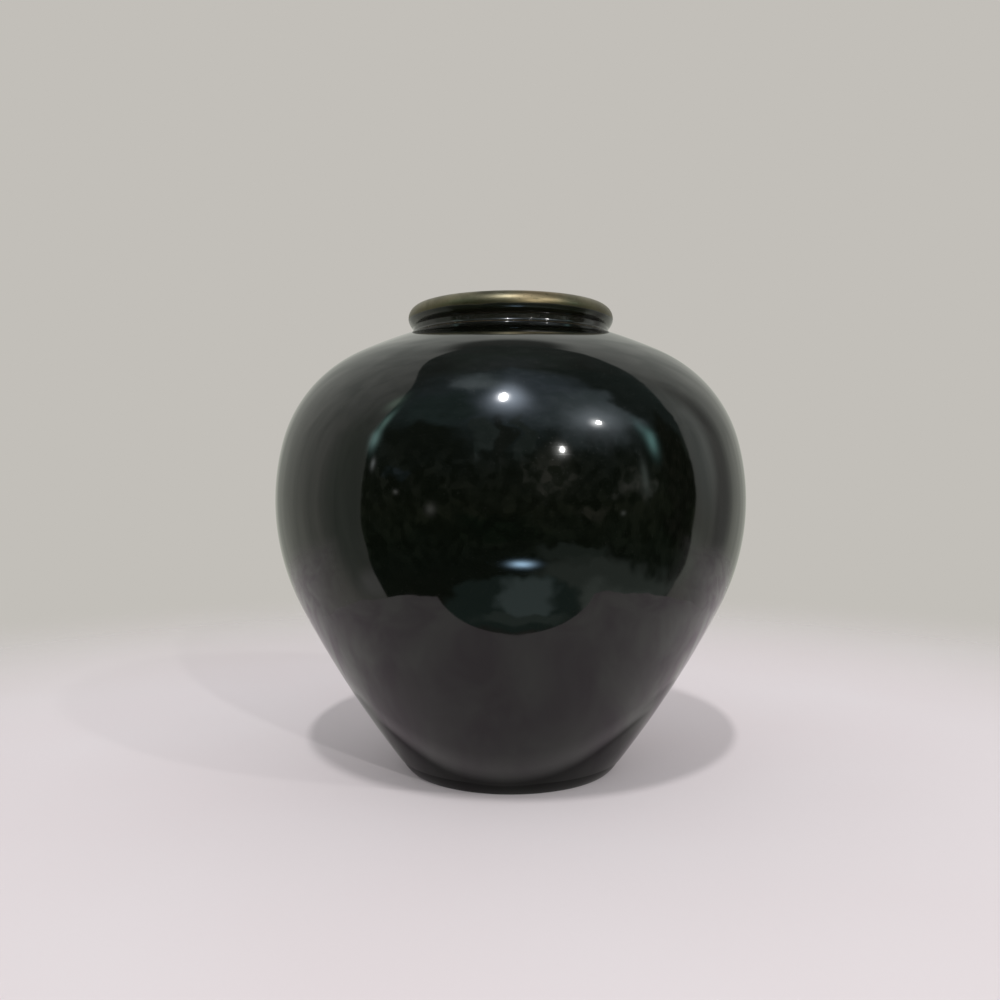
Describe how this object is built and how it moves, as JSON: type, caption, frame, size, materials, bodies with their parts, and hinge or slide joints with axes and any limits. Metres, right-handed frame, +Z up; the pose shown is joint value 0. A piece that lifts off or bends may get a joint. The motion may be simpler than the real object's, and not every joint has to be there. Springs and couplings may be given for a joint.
{
  "type": "vase",
  "caption": "Round-bellied vase of spun brass under glossy black lacquer, on a narrow foot, with a thick rolled lip whose crown is bare brass.",
  "frame": {"origin": "centre of the rest circle under the foot", "axes": "+Z up along the axis of revolution; the vase is round, so X and Y are alike"},
  "size_m": [0.242, 0.242, 0.24],
  "materials": {
    "black_lacquer": "mirror-gloss black lacquer over brass, with fine dust and hairline scratches",
    "bare_brass": "bare aged brass with an olive-brown tarnish, satin, lacquered below the widest line of the lip",
    "dull_brass": "unpolished brass, dull brown, with turning marks"
  },
  "bodies": {
    "root": {"lower_body_shell": "black_lacquer", "upper_body_shell": "black_lacquer", "mouth_ring": "bare_brass", "foot_ring": "black_lacquer", "base_plate": "dull_brass"}
  },
  "joints": []
}
